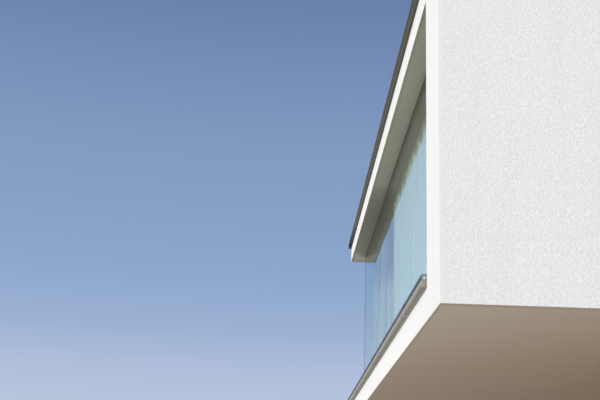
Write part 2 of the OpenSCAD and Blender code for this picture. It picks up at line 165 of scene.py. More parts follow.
def turned(profile, centre, axis=(0, 0, 1), steps=16):
    """Grid of a turned shape: centre + r * (cos t * e + sin t * f) + h * axis, for profile
    points (r, h) and t all the way round; e and f stand at right angles to the axis."""
    profile, centre, axis = (np.asarray(v, float) for v in (profile, centre, axis))
    e = np.cross(axis, (0, 0, 1) if abs(axis[2]) < 0.9 else (1, 0, 0))
    e /= np.linalg.norm(e)
    f = np.cross(axis, e)
    t = np.linspace(0, 2 * np.pi, steps, endpoint=False)[None, :, None]
    ring = np.cos(t) * e + np.sin(t) * f
    return centre + profile[:, None, :1] * ring + profile[:, None, 1:] * axis

def rounded(width, height, radius):
    """Outline of a rounded rectangle round (0, 0): four quarter circles in a row."""
    t = np.radians(np.linspace(0, 90, 5))
    turn = np.radians([0, 90, 180, 270])[:, None] + t[None]
    corner = np.array([[1, 1], [-1, 1], [-1, -1], [1, -1]])[:, None, :]
    middle = corner * (width / 2 - radius, height / 2 - radius)
    return (middle + radius * np.stack([np.cos(turn), np.sin(turn)], -1)).reshape(-1, 2)

print("a mitred path and a turned shape are ready")

# %% [markdown]
# ## Shader sums written as sums
# A finish is a small calculation per point. The class below wraps a node's socket, so
# that `0.8 + 0.1 * grain` adds two Math nodes and wires them. One method makes every
# other node from its type, its settings and its socket values.

# %% Wrap a socket
class Wire:
    """A node's output that can be added, multiplied and compared; each sum is a Math node."""

    def __init__(self, socket):
        self.socket = socket

    @staticmethod
    def node(tree, kind, settings=None, sockets=None):
        """A node of that type: settings first, then each socket's value or link."""
        made = tree.nodes.new("ShaderNode" + kind)
        for name, value in (settings or {}).items():
            if name == "stops":
                for at, colour in value[2:]:
                    made.color_ramp.elements.new(at)
                for element, (at, colour) in zip(made.color_ramp.elements, sorted(value)):
                    element.position, element.color = at, colour
            else:
                setattr(made, name, value)
        for name, value in (sockets or {}).items():
            if isinstance(name, int):
                socket = made.inputs[name]
            else:
                socket = next(s for s in made.inputs if s.enabled and s.name == name)
            if isinstance(value, Wire):
                tree.links.new(value.socket, socket)
            else:
                socket.default_value = value
        return Wire(next(s for s in made.outputs if s.enabled))

    def out(self, name):
        """Another output of the same node."""
        return Wire(self.socket.node.outputs[name])

    def sum(self, operation, *values, clamp=False):
        settings = {"operation": operation, "use_clamp": clamp}
        return Wire.node(self.socket.id_data, "Math", settings, dict(enumerate(values)))

    def __add__(self, other): return self.sum("ADD", self, other)
    def __sub__(self, other): return self.sum("SUBTRACT", self, other)
    def __mul__(self, other): return self.sum("MULTIPLY", self, other)
    def __truediv__(self, other): return self.sum("DIVIDE", self, other)
    def __gt__(self, other): return self.sum("GREATER_THAN", self, other)
    def __lt__(self, other): return self.sum("LESS_THAN", self, other)
    def __rsub__(self, other): return self.sum("SUBTRACT", other, self)
    __radd__, __rmul__ = __add__, __mul__

    def clamp(self): return self.sum("ADD", self, 0.0, clamp=True)
    def fraction(self): return self.sum("FRACT", self)
    def absolute(self): return self.sum("ABSOLUTE", self)
    def most(self, other): return self.sum("MAXIMUM", self, other)
    def least(self, other): return self.sum("MINIMUM", self, other)

    def between(self, low, high):
        """0 below low, 1 above high, and straight between them."""
        return self.sum("MULTIPLY", self - low, 1 / (high - low), clamp=True)

print("sockets can be added and multiplied")

# %% [markdown]
# ## One finish, one tree
# Each material starts from a Principled shader. The helper hands out what the patterns
# need: the place on the house in metres, the direction that a face looks, noise of a
# real size, a blend of two colours and a bump.

# %% Start a finish
class Finish:
    """A material with one Principled shader; kept values sit on the shader itself."""

    def __init__(self, name, **kept):
        self.material = bpy.data.materials.new(name)
        self.material.use_nodes = True
        self.tree = self.material.node_tree
        self.tree.nodes.clear()
        kept = {name.replace("_", " "): value for name, value in kept.items()}
        self.shader = self.node("BsdfPrincipled", None, kept)
        self.end = self.tree.nodes.new("ShaderNodeOutputMaterial")
        self.tree.links.new(self.shader.socket, self.end.inputs["Surface"])
        self.place = self.node("TexCoord").out("Object")
        split = self.node("SeparateXYZ", None, {0: self.place})
        self.x, self.y, self.z = (split.out(a) for a in "XYZ")
        self.facing = self.node("NewGeometry").out("Normal")
        facing = self.node("SeparateXYZ", None, {0: self.facing})
        self.faces_x, self.faces_y, self.faces_z = (facing.out(a) for a in "XYZ")

    def node(self, kind, settings=None, sockets=None):
        return Wire.node(self.tree, kind, settings, sockets)

    def set(self, **sockets):
        """Patterns wired to the shader's own sockets."""
        inputs = self.shader.socket.node.inputs
        for name, wire in sockets.items():
            self.tree.links.new(wire.socket, inputs[name.replace("_", " ")])
        return self

    def noise(self, size, detail=2.0, rough=0.5, stretch=(1, 1, 1), at=None, swirl=0.0):
        """Cloudy noise whose patches are about size metres across, longer where stretch is."""
        scale = [1 / (size * s) for s in stretch]
        moved = self.node("Mapping", None, {"Vector": at or self.place, "Scale": scale})
        return self.node("TexNoise", None, {"Vector": moved, "Scale": 1.0, "Detail": detail,
                                            "Roughness": rough, "Distortion": swirl})

    def cells(self, size):
        """Distance to the nearest of scattered points about size metres apart."""
        return self.node("TexVoronoi", None, {"Vector": self.place, "Scale": 1 / size})

    def mix(self, share, one, other):
        """Colour one where share is 0, colour other where it is 1."""
        one, other = (c if isinstance(c, Wire) else (*c, 1) for c in (one, other))
        return self.node("Mix", {"data_type": "RGBA"}, {"Factor": share, "A": one, "B": other})

    def times(self, colour, amount):
        """The colour made lighter or darker by a number."""
        colour = colour if isinstance(colour, Wire) else (*colour, 1)
        grey = self.node("CombineColor", None, {0: amount, 1: amount, 2: amount})
        return self.node("Mix", {"data_type": "RGBA", "blend_type": "MULTIPLY"},
                         {"Factor": 1.0, "A": colour, "B": grey})

    def bump(self, height, distance, strength=1.0, under=None):
        """A normal from a height between 0 and 1, where 1 stands distance metres proud."""
        sockets = {"Height": height, "Distance": distance, "Strength": strength}
        if under:
            sockets["Normal"] = under
        return self.node("Bump", None, sockets)

print("finishes can be started")

# %% [markdown]
# ## Render on the walls
# The blank walls carry a coarse mineral render: a sandy coat, floated in short strokes
# a centimetre or two wide that turn a new way every hand's breadth. The strip, the band
# and the fascia carry a fine white finish with hardly any tooth, with a streaky strip of
# painted shade just below the sill. Inside the rooms the same walls are plain painted
# plaster, and the undersides are painted like the soffit they belong to.

# %% Coarse and fine render
SOFFIT_BEIGE = (0.625, 0.495, 0.372)
SOFFIT_GREEN = (0.338, 0.321, 0.260)
ROOM_WHITE = (0.74, 0.73, 0.70)
ON_FACE = 0.01
WHOLE_TURN = 6.28

def painted_below(finish, colour):
    """Undersides take the beige paint low on the house and the grey-green paint high up."""
    paint = finish.mix(finish.z > HALFWAY_UP, SOFFIT_BEIGE, SOFFIT_GREEN)
    return finish.mix(finish.faces_z < -0.5, colour, paint)

def inside_room(finish):
    """1 on faces that look into a room, 0 outdoors and in the window reveals."""
    within = (finish.x.absolute() < ROOM_SIDE + ON_FACE) * (finish.y < ROOM_BACK + ON_FACE)
    upstairs = (finish.z > BETWEEN_STOREYS) * (finish.y > UPPER_ROOM_FRONT)
    downstairs = (finish.z < BETWEEN_STOREYS) * (finish.y > LOWER_ROOM_FRONT - ON_FACE)
    return within * (upstairs + downstairs).clamp()

def coarse_render():
    wall = Finish("rough_render", Roughness=0.92, Specular_IOR_Level=0.25)
    grain = wall.cells(0.017)
    sand = wall.noise(0.006, detail=3, rough=0.65)
    own = wall.node("SeparateXYZ", None, {0: wall.cells(0.11).out("Color")}).out("X")
    turned_place = wall.node("VectorRotate", None, {"Vector": wall.place, "Axis": wall.facing,
                                                    "Angle": own * WHOLE_TURN})
    float_marks = wall.noise(0.016, detail=2, rough=0.6, stretch=(1, 1, 2.6),
                             at=turned_place, swirl=0.3)
    clouds = wall.noise(0.45, detail=3, rough=0.55)
    height = 0.55 * grain + 0.15 * sand + 0.5 * float_marks
    shade = 0.777 + 0.03 * clouds + 0.093 * float_marks.between(0.3, 0.7) + 0.093 * grain
    rain = wall.noise(0.16, detail=3, stretch=(1, 1, 14)).between(0.52, 0.75)
    colour = wall.times((0.985, 0.985, 0.988), shade - 0.02 * rain)
    inner = inside_room(wall)
    colour = wall.mix(inner, painted_below(wall, colour), ROOM_WHITE)
    bump = wall.bump(height * (1 - 0.9 * inner), 0.005, 0.9)
    return wall.set(Base_Color=colour, Normal=bump).material

def fine_render():
    wall = Finish("smooth_render", Roughness=0.85, Specular_IOR_Level=0.25)
    trowel = wall.noise(0.09, detail=4, rough=0.6, stretch=(1, 1, 1.6))
    tooth = wall.noise(0.004, detail=2)
    sand = wall.noise(0.014, detail=3, rough=0.7)
    clouds = wall.noise(0.8, detail=2)
    shade = 0.91 + 0.03 * trowel + 0.02 * clouds + 0.20 * sand
    near_end = wall.x.between(3.6, 4.9)
    shade = shade - 0.055 * near_end - 0.025 * (wall.z > SOFFIT_LOW)
    below_sill = (wall.x < PIER) * (wall.y < 0.0) * (wall.z < SILL_LOW + 0.002)
    upright = wall.faces_z.absolute() < 0.5
    # Painted shade: a band a few centimetres deep below the sill, where the sill shades the wall,
    # broken up by streaks.
    shade_under_sill = wall.z.between(SILL_LOW - 0.027, SILL_LOW - 0.002) * below_sill * upright
    streaks = wall.noise(0.03, detail=3, stretch=(1, 1, 5))
    shade = shade * (1 - 0.22 * shade_under_sill * (0.9 + 0.2 * streaks))
    colour = painted_below(wall, wall.times((0.90, 0.90, 0.885), shade))
    colour = wall.mix(inside_room(wall), colour, ROOM_WHITE)
    bump = wall.bump(0.7 * trowel + 0.3 * tooth, 0.0012, 0.5)
    return wall.set(Base_Color=colour, Normal=bump).material

finishes = {"rough_render": coarse_render(), "smooth_render": fine_render()}
print("walls:", [m.name for m in finishes.values()])

# %% [markdown]
# ## Painted undersides
# The wide beige-brown soffit under the upper storey is board with a thin rendered skin,
# painted with a roller, which leaves a fine stipple and faint overlaps. Painted light makes
# it paler and yellower along its open edges, and painted shade darkens it under the house.
# The narrow roof soffit is painted board in grey-green, a little lighter at its near end.
# Painted shade darkens its far half, up to the far end, where painted light brightens the
# strip beside the corner glass, which lies open to the sky.

# %% Soffit paints
def painted_light_at_edges(paint, tone):
    """Tone and painted light of the wide soffit: painted light, paler and yellower, towards its
    open edges, and painted shade deeper under the house.
    """
    # Painted shade deepens with the distance from the open edges; painted light paler and yellower
    # near them.
    painted_shade_share = ((RIGHT - paint.x) * 0.10 + (paint.y - FRONT) * 0.22).clamp()
    painted_light_share = 1 - painted_shade_share.between(0.05, 0.55)
    pale = (1.05 * tone[0], 1.13 * tone[1], 1.16 * tone[2])
    return paint.mix(painted_light_share, tone, pale), 1.05 - 0.27 * painted_shade_share

def painted_far_shade_and_end_light(paint, tone):
    """Tone and painted light of the narrow soffit: painted shade from the middle on, painted light
    at the open far end, and a little lighter towards the near end.
    """
    # Painted light on the strip open to the sky at the far end; painted shade over the far half.
    lit_open_side = paint.x.between(SIDE_GLASS_OUT + 0.01, SIDE_GLASS_OUT - 0.03)
    slanting = paint.x + 1.8 * (paint.y - FRONT)
    lit_open_corner = slanting.between(-4.35, -4.61) * (paint.y < GLASS_OUT)
    far_half_shade = paint.x.between(-0.75, -1.05) * (0.22 - 0.16 * paint.x.between(-1.6, -4.6))
    near_end = paint.x.between(0.5, 3.5)
    return tone, 1.05 + 0.04 * near_end - far_half_shade + 0.66 * lit_open_side.most(lit_open_corner)

def soffit_paint(name, tone, lap, shading):
    """Rolled paint; lap is the width of the roller's lanes in metres."""
    paint = Finish(name, Specular_IOR_Level=0.3)
    stipple = paint.noise(0.004, detail=2)
    clouds = paint.noise(0.6, detail=4, rough=0.6)
    roller = paint.noise(lap, detail=1, stretch=(1, 8, 1))
    tone, light = shading(paint, tone)
    bump = paint.bump(stipple * 0.6 + clouds * 0.4, 0.001, 0.5)
    return paint.set(Base_Color=paint.times(tone, light + 0.06 * clouds + 0.04 * roller),
                     Normal=bump, Roughness=0.74 + 0.12 * clouds).material

finishes["beige_paint"] = soffit_paint("beige_paint", SOFFIT_BEIGE, 0.22, painted_light_at_edges)
finishes["grey_green_paint"] = soffit_paint("grey_green_paint", SOFFIT_GREEN, 0.15, painted_far_shade_and_end_light)
print("soffits:", len(finishes), "finishes so far")

# %% [markdown]
# ## Folded sheet metal
# Sills and caps are folded from coated sheet, which is never quite flat: it swells and
# sinks by fractions of a millimetre. Each face grows lighter from its foot up to its fold,
# as painted light and shade, with pale runs, and the undersides take a brown painted
# shade. Above the fold the rims are dark blue-grey and more metallic, so they mirror the
# sky. Caps alone have a pale drip and a dark far end. Sills alone have light straps over
# the joints with a painted shadow beside each, and a plate that closes the near end, in
# two tones of painted light and shade, with a painted highlight.

# %% Folded sheet
def folded_sheet(name, tones, heights, undersides, marks):
    """Tones are those of the underside, painted shade, of the face at its foot, painted shade,
    and at its fold, painted light, and of the hem. Heights are those of foot and fold, and the one
    up to which the hem's tone goes.
    Undersides gives the underside's colour, and marks adds what is painted last."""
    below, wear_and_shade, lit_fold, hem = tones
    foot, fold, top = heights
    metal = Finish(name, Specular_IOR_Level=0.15)
    dents = metal.noise(0.35, detail=1, stretch=(1.6, 1.6, 0.5))
    rolled = metal.noise(0.003, detail=2, stretch=(40, 40, 1))
    dust = metal.noise(0.05, detail=4, rough=0.65)
    runs = metal.noise(0.03, detail=3, stretch=(1, 1, 9)).between(0.5, 0.8)
    out = (metal.x.absolute() - RIGHT).most(metal.y.absolute() + FRONT)
    # Painted light and shade: the face grows lighter from its foot up to its fold.
    colour = metal.mix(metal.z.between(foot, fold), wear_and_shade, lit_fold)
    colour = metal.mix(0.10 * runs, colour, (0.42, 0.40, 0.37))
    on_top = (metal.z.between(fold, fold + 0.002) * (metal.z < top)).clamp()
    colour = metal.mix(on_top, colour, hem)
    # The underside's brown tone is painted shade.
    colour = metal.mix(metal.faces_z < -0.5, colour, undersides(metal, out, below))
    colour = marks(metal, metal.times(colour, 0.93 + 0.14 * dust))
    bump = metal.bump(dents, 0.0035, 0.35, metal.bump(rolled, 0.0003, 0.3))
    return metal.set(Base_Color=colour, Normal=bump, Metallic=0.02 + 0.45 * on_top,
                     Roughness=0.48 - 0.12 * on_top + 0.14 * dust).material

def pale_drip(metal, out, below):
    """A cap's underside is pale out at its drip; out is the distance from the wall."""
    drip = out.between(0.010, 0.036) * (1 - 0.5 * out.between(0.040, 0.052))
    return metal.mix(drip, below, tuple(1.35 * c + 0.035 for c in below))

def dark_far_end(metal, colour):
    """The front cap turns nearly black towards its far end."""
    far_end = metal.x.between(-3.6, -4.9) * (metal.y < FRONT + 0.2)
    return metal.times(colour, 1 - 0.95 * far_end)

CAP_TONES = ((0.100, 0.087, 0.064), (0.050, 0.052, 0.056), (0.058, 0.062, 0.068),
             (0.13, 0.14, 0.16))
CAP_HEIGHTS = CAP_LOW, CAP_LOW + 0.06, CAP_LOW + 0.16
finishes["cap_metal"] = folded_sheet("cap_metal", CAP_TONES, CAP_HEIGHTS, pale_drip, dark_far_end)
print("caps done,", len(finishes), "finishes")

# %% Straps and end plate of the sill
HALF_STRAP = 0.036
BESIDE_STRAP = 0.09
# Place and size of the painted highlight on the sill's end plate.
HIGHLIGHT_Y, HIGHLIGHT_Z = FRONT - 0.021, SILL_LOW + 0.078
HIGHLIGHT_EDGE, HIGHLIGHT_FULL = 0.015, 0.008

def pale_by_wall(metal, out, below):
    """A sill's underside is paler close to the white wall, which throws light at it."""
    return metal.times(below, 1 + 0.6 * out.between(0.020, 0.0))

def end_plate(metal):
    """Colour of the plate at the near end: two tones of painted light and shade, a band along its
    rim, and a painted highlight.
    """
    # Painted light and shade: the plate takes a lit tone and a shaded tone, split across its
    # depth.
    light_split = metal.y.between(FRONT - 0.045, FRONT - 0.02)
    plate = metal.mix(light_split, (0.35, 0.345, 0.325), (0.27, 0.265, 0.215))
    rim = metal.z.between(SILL_LOW + 0.050, SILL_LOW + 0.072)
    plate = metal.mix(rim, plate, (0.24, 0.265, 0.295))
    # A painted highlight: a pale round spot on the plate.
    along, up = metal.y - HIGHLIGHT_Y, metal.z - HIGHLIGHT_Z
    highlight = (along * along + up * up).between(HIGHLIGHT_EDGE ** 2, HIGHLIGHT_FULL ** 2)
    return metal.mix(highlight, plate, (0.66, 0.68, 0.66))

def straps_and_plate(metal, colour):
    """Each strap is half as light again as the sill, and the lip beside it carries a painted
    shadow.
    """
    on_plate = (metal.faces_x > 0.5) * (metal.x > PIER - 0.005) * (metal.y < FRONT)
    colour = metal.mix(on_plate, colour, end_plate(metal))
    to_near, to_far = ((metal.x - joint).absolute() for joint in SILL_JOINTS)
    away = to_near.least(to_far)
    lip = metal.z.between(SILL_LOW + 0.007, SILL_LOW + 0.025)
    # Painted shadow of each strap on the lip beside it.
    beside = (away > HALF_STRAP) * (away < BESIDE_STRAP) * lip
    along_front = metal.y < FRONT + 0.3
    return metal.times(colour, 1 + along_front * (0.50 * (away < HALF_STRAP) - 0.50 * beside))

SILL_TONES = ((0.27, 0.25, 0.20), (0.208, 0.18, 0.133), (0.475, 0.435, 0.375),
              (0.115, 0.13, 0.147))
SILL_HEIGHTS = SILL_LOW - 0.005, SILL_LOW + 0.057, SILL_LOW + 0.21
finishes["sill_metal"] = folded_sheet("sill_metal", SILL_TONES, SILL_HEIGHTS, pale_by_wall,
                                      straps_and_plate)
print("sills done,", len(finishes), "finishes")

# %% [markdown]
# ## Powder coat
# The channels and window frames are powder coated, with a very fine orange peel and a
# little dust. The soffit's paint runs over the head channel where it lies outdoors.

# %% Powder-coated aluminium and the door's paint
def powder_coat(name, tone, shine, tooth=0.0022, painted=None):
    """Painted is the tone of faces outside the glass, where a soffit's paint covers them."""
    coat = Finish(name)
    peel = coat.noise(tooth, detail=2)
    dust = coat.noise(0.06, detail=4, rough=0.6)
    wear_and_shade = coat.noise(0.5, detail=2)
    dusty = tuple(min(1, 1.5 * c + 0.02) for c in tone)
    colour = coat.mix(dust.between(0.5, 0.85) * 0.25, tone, dusty)
    if painted:
        outside = ((coat.y < GLASS_OUT) + (coat.x < SIDE_GLASS_OUT)).clamp()
        colour = coat.mix(outside, colour, painted)
    colour = coat.times(colour, 0.94 + 0.12 * wear_and_shade)
    return coat.set(Base_Color=colour, Roughness=shine + 0.14 * dust,
                    Normal=coat.bump(peel, 0.0003, 0.4)).material

finishes["dark_aluminium"] = powder_coat("dark_aluminium", (0.062, 0.062, 0.055), 0.42)
finishes["head_channel_aluminium"] = powder_coat("head_channel_aluminium", (0.03, 0.03, 0.027),
                                                 0.55, painted=SOFFIT_GREEN)
finishes["white_aluminium"] = powder_coat("white_aluminium", (0.80, 0.80, 0.79), 0.38)
finishes["door_paint"] = powder_coat("door_paint", (0.085, 0.09, 0.095), 0.36, tooth=0.004)
print("coats done,", len(finishes), "finishes")

# %% [markdown]
# ## Glass that lets daylight in
# The panes are clear with the slight green of thick glass, which is stronger when the eye
# looks along the pane, because the way through is longer. A path tracer treats a pane
# as something that bends light and so casts a dark shadow behind it. Real daylight passes
# straight through a flat pane, so for shadow rays and scattered rays the shader turns
# into plain tinted transparency. What the eye sees is still the full glass. Along its
# head the glass has a printed band that fades out downwards.

# %% Glass
def clear_glass():
    glass = Finish("glass", IOR=1.5, Transmission_Weight=1.0)
    printed = glass.z.between(SOFFIT_LOW - 0.20, SOFFIT_LOW - 0.04)
    film = glass.noise(0.25, detail=3, rough=0.6)
    slant = glass.node("LayerWeight", None, {"Blend": 0.5}).out("Facing").between(0.35, 0.75)
    tint = glass.mix(slant, (0.90, 0.955, 0.93), (0.695, 0.96, 0.815))
    glass.set(Base_Color=glass.mix(printed, tint, (0.02, 0.02, 0.018)),
              Normal=glass.bump(glass.noise(0.9, detail=1), 0.0009, 0.25),
              Roughness=0.012 * film.between(0.45, 0.8))
    path = glass.node("LightPath")
    passing = (path.out("Is Shadow Ray") + path.out("Is Diffuse Ray")).clamp()
    clear = glass.node("BsdfTransparent", None, {"Color": (0.96, 0.985, 0.97, 1)})
    both = glass.node("MixShader", None, {0: passing, 1: glass.shader, 2: clear})
    glass.tree.links.new(both.socket, glass.end.inputs["Surface"])
    return glass.material

finishes["glass"] = clear_glass()
print("glass done")

# %% [markdown]
# ## Floors and roof
# The upper floor carries oak boards, laid along the glass front in a running bond. The
# ground slab and the roof slab are cast concrete with fine pores, left bare where the
# roof slab is the ceiling of the upper room; between the curtains and the glass it carries
# painted shade. The roof is covered with membrane strips about a metre wide, each of a
# slightly different grey, whose welded laps show as low lines. Dust has settled where
# puddles dried.

# %% Oak, concrete and membrane
def oak_floor():
    oak = Finish("floor_oak")
    boards = oak.node("TexBrick", {"offset": 0.37},
                      {"Vector": oak.place, "Scale": 1.0, "Mortar Size": 0.0012,
                       "Mortar Smooth": 0.3, "Brick Width": 1.35, "Row Height": 0.14,
                       "Color1": (0.35, 0.35, 0.35, 1), "Color2": (0.75, 0.75, 0.75, 1),
                       "Mortar": (0, 0, 0, 1)})
    gap = boards.out("Fac")
    grain = oak.noise(0.012, detail=5, rough=0.6, stretch=(14, 1, 1))
    shade = 0.62 + 0.40 * boards + 0.30 * grain - 0.6 * gap
    wood = oak.times((0.52, 0.40, 0.27), shade)
    slab = oak.times((0.42, 0.41, 0.39), 0.85 + 0.3 * oak.noise(0.03, detail=4))
    top = oak.faces_z > 0.5
    bump = oak.bump(top * (0.4 * grain - gap), 0.0012, 0.6)
    return oak.set(Base_Color=oak.mix(top, slab, wood), Normal=bump,
                   Roughness=0.42 + 0.2 * grain).material

def cast_concrete():
    slab = Finish("concrete")
    pores = slab.cells(0.03).between(0.05, 0.2)
    fine = slab.noise(0.01, detail=5, rough=0.65)
    clouds = slab.noise(0.5, detail=3)
    # Painted shade on the ceiling strip between the curtain track and the glass.
    recess_shade = (slab.z > HEAD_LOW) * (slab.y < CURTAIN_LINE) * (slab.faces_z < -0.5)
    shade = 0.72 + 0.22 * fine + 0.22 * clouds + 0.08 * pores
    colour = slab.times((0.40, 0.395, 0.38), shade * (1 - 0.85 * recess_shade))
    bump = slab.bump(0.5 * fine + 0.5 * pores, 0.002, 0.6)
    return slab.set(Base_Color=colour, Normal=bump, Roughness=0.78 + 0.15 * fine).material

STRIP_WIDTH = 1.06
STRIP_LENGTH = 5.3
PUDDLE_EDGE = 0.565

def roof_membrane():
    roof = Finish("roof_membrane")
    across = roof.x / STRIP_WIDTH + 0.5
    strip = across.fraction()
    own = roof.node("TexWhiteNoise", {"noise_dimensions": "1D"}, {"W": across - strip})
    along = ((roof.y + 5 * own) / STRIP_LENGTH + 2).fraction()
    lap = strip.between(0.0, 0.012) * (1 - strip.between(0.085, 0.097))
    end_lap = along.between(0.0, 0.002) * (1 - along.between(0.018, 0.020))
    laps = lap.most(end_lap)
    within = strip.between(0.012, 0.02).least(1 - strip.between(0.077, 0.085))
    seam = laps * (1 - within)
    wrinkle = roof.noise(0.3, detail=3, stretch=(1, 3, 1))
    grit = roof.noise(0.004, detail=2)
    dust = roof.noise(0.7, detail=5, rough=0.6).between(0.35, 0.75)
    level = roof.noise(1.3, detail=2, rough=0.4)
    puddle = level.between(PUDDLE_EDGE - 0.005, PUDDLE_EDGE + 0.005)
    rim = (1 - (level - PUDDLE_EDGE).absolute() * 60).clamp()
    colour = roof.mix(dust * 0.45, (0.105, 0.11, 0.115), (0.20, 0.195, 0.18))
    colour = roof.mix(0.04 * puddle + 0.13 * rim, colour, (0.30, 0.285, 0.25))
    colour = roof.times(colour, 0.80 + 0.26 * own + 0.2 * grit + 0.16 * laps - 0.45 * seam)
    bump = roof.bump(0.55 * laps + 0.3 * wrinkle + 0.15 * grit, 0.004, 0.6)
    return roof.set(Base_Color=colour, Normal=bump, Roughness=0.64 + 0.22 * dust).material

finishes.update(floor_oak=oak_floor(), concrete=cast_concrete(), roof_membrane=roof_membrane())
print("floors and roof done,", len(finishes), "finishes")

# %% [markdown]
# ## Cloth, steel, rubber and plastic
# The curtains are a light sheer in a loose weave; its threads follow the cloth, so they
# use the cloth's own flat map, in metres. The far curtain carries painted shade, deepest
# above a slanting line and on one half of each of its three lengths. The door pull is
# brushed steel, gaskets are black rubber, and gliders and seals are plain plastic and silicone.

# %% Curtain cloth and small finishes
FAR_CURTAIN = side("far_curtain", "high", "x")
FAR_GAPS = -3.60, -2.57

def shade_on_far_curtain(x, z):
    """Share of light that the far curtain lacks; 0 on the near one. The upper part is dark
    where z + 0.24 x is high, and the gaps between the lengths part the dark halves."""
    far_gap, near_gap = FAR_GAPS
    far = x.between(FAR_CURTAIN + 0.065, FAR_CURTAIN + 0.015)
    upper = (z + 0.24 * x).between(4.36, 4.70)
    halves = (0.27 * x.between(-4.35, -3.80) * (x < far_gap)
              + 0.28 * x.between(far_gap, -2.70) * (x > far_gap) * (x < near_gap)
              + 0.28 * x.between(-2.10, -2.50) * (x > near_gap))
    return far * (0.14 + 0.50 * upper + halves * (1 - upper)
                  + 0.08 * x.between(-2.55, -2.50) + 0.25 * x.between(-4.0, -4.65))

def curtain_cloth():
    cloth = Finish("curtain_cloth", Sheen_Weight=0.25, Sheen_Roughness=0.4, Roughness=0.9)
    flat = cloth.node("UVMap", {"uv_map": "cloth"})
    warp = cloth.noise(0.0016, detail=2, stretch=(1, 26, 1), at=flat)
    weft = cloth.noise(0.0016, detail=2, stretch=(26, 1, 1), at=flat)
    slub = cloth.noise(0.02, detail=3, stretch=(1, 18, 1), at=flat)
    shade = 0.93 + 0.05 * warp + 0.05 * weft + 0.05 * slub
    shade = shade * (1 - shade_on_far_curtain(cloth.x, cloth.z))
    bump = cloth.bump(0.5 * warp + 0.5 * weft, 0.0005, 0.6)
    return cloth.set(Base_Color=cloth.times((0.94, 0.955, 0.93), shade), Normal=bump).material

def brushed_steel():
    steel = Finish("pull_steel", Metallic=1.0)
    lines = steel.noise(0.0009, detail=3, stretch=(1, 1, 60))
    touched = steel.noise(0.12, detail=3)
    return steel.set(Base_Color=steel.times((0.60, 0.60, 0.585), 0.9 + 0.2 * lines),
                     Roughness=0.22 + 0.14 * lines + 0.1 * touched,
                     Normal=steel.bump(lines, 0.0002, 0.4)).material

def rubber(name, tone, shine):
    """Rubber, silicone or plastic: a fine grain with a faint bloom."""
    soft = Finish(name)
    grain = soft.noise(0.003, detail=3)
    bloom = soft.noise(0.05, detail=3).between(0.45, 0.8)
    return soft.set(Base_Color=soft.times(tone, 0.85 + 0.2 * grain + 0.25 * bloom),
                    Roughness=shine + 0.15 * bloom, Normal=soft.bump(grain, 0.0003, 0.4)).material

finishes["curtain_cloth"] = curtain_cloth()
finishes["pull_steel"] = brushed_steel()
for name, tone, shine in (("gasket_rubber", (0.022, 0.022, 0.023), 0.55),
                          ("glazing_rubber", (0.10, 0.105, 0.08), 0.6),
                          ("grey_silicone", (0.06, 0.063, 0.066), 0.35),
                          ("white_plastic", (0.74, 0.74, 0.72), 0.35)):
    finishes[name] = rubber(name, tone, shine)
print(len(finishes), "finishes in all")

# %% [markdown]
# ## Dress the solids
# The record names a material slot for each solid, and one loop gives every solid its
# finish. Only the head channel has one of its own.

# %% Give each solid its finish
for part in frame["record"]["subparts"]:
    mesh = frame["nodes"][part["node"]].data
    at_head = part["node"] == "head_channel"
    mesh.materials.clear()
    mesh.materials.append(finishes["head_channel_aluminium" if at_head else part["material_slot"]])
print(len(frame["nodes"]), "solids have their finish")

# %% [markdown]
# ## Curtains
# A curtain is about half as wide again as the window it covers; the spare cloth stands in
# folds. The folds are a wave in plan. Its phase wanders a little along the track, the
# wave is tight at the heading tape and opens towards the hem, and each fold leans over
# slightly, which makes the wave rounder than a plain sine. Every third fold or so is
# pinched into a pleat that stands out from the heading.

# %% Shape the folds
FOLD_DEPTH = 0.0345
FIRST_PLEAT = 0.24
PLEAT_EVERY = 0.41

def folds(x0, x1, count, seed, top, bottom, y):
    """Points over u along the track and v from hem to heading, and their places on the flat
    cloth. The phase is 2 pi (count u + wander); x = x0 + (x1 - x0) u + lean sin(2 phase)
    and y = middle + pleat(u, v) + depth(u, v) sin(phase). Depth grows down to the hem, and
    the pleats stand out from the heading at even distances."""
    rng = np.random.default_rng(seed)
    u = np.linspace(0, 1, count * 20 + 1)[:, None]
    v = np.linspace(0, 1, 37)[None, :] ** 0.8
    wander = sum(a * np.sin(2 * np.pi * (k * u + p))
                 for k, a, p in zip((2, 5, 9, 14), (0.25, 0.16, 0.10, 0.07), rng.random(4)))
    phase = 2 * np.pi * (count * u + wander) + 0.5 * (1 - v) * np.sin(2 * np.pi * (3 * u + 0.2))
    size = 1 + 0.22 * (np.sin(2 * np.pi * (7 * u + rng.random()))
                       * np.sin(2 * np.pi * (11 * u + 0.4)))
    below_tape = np.clip((1 - v) / 0.22, 0, 1)
    depth = FOLD_DEPTH * size * (0.12 + 0.88 * below_tape ** 0.9) * (0.86 + 0.14 * (1 - v))
    ease = np.clip(np.minimum(u, 1 - u) * count, 0, 1)
    turns = 2 * np.pi * ((x1 - x0) * u - FIRST_PLEAT) / PLEAT_EVERY
    turns = turns + 0.5 * np.sin(2 * np.pi * 3 * u)
    pleat = np.clip((v - 0.6) / 0.33, 0, 1) * (0.008 - 0.046 * (0.5 + 0.5 * np.cos(turns)) ** 6)
    x = x0 + (x1 - x0) * u + ease * 0.22 * (x1 - x0) / count * np.sin(2 * phase) / 2
    z = bottom + (top - bottom) * v + 0.002 * (1 - v) * np.sin(phase)
    points = np.stack(np.broadcast_arrays(x, y + pleat + depth * np.sin(phase), z), -1)
    points[..., 0] = points[..., 0].clip(x0, x1)
    steps = np.diff(points[:, 10], axis=0, prepend=points[:1, 10])
    along = np.cumsum(np.linalg.norm(steps, axis=-1))
    flat = np.stack(np.broadcast_arrays(along[:, None], z - bottom), -1)
    return points, flat

print("folds are about", 2 * FOLD_DEPTH, "m deep")

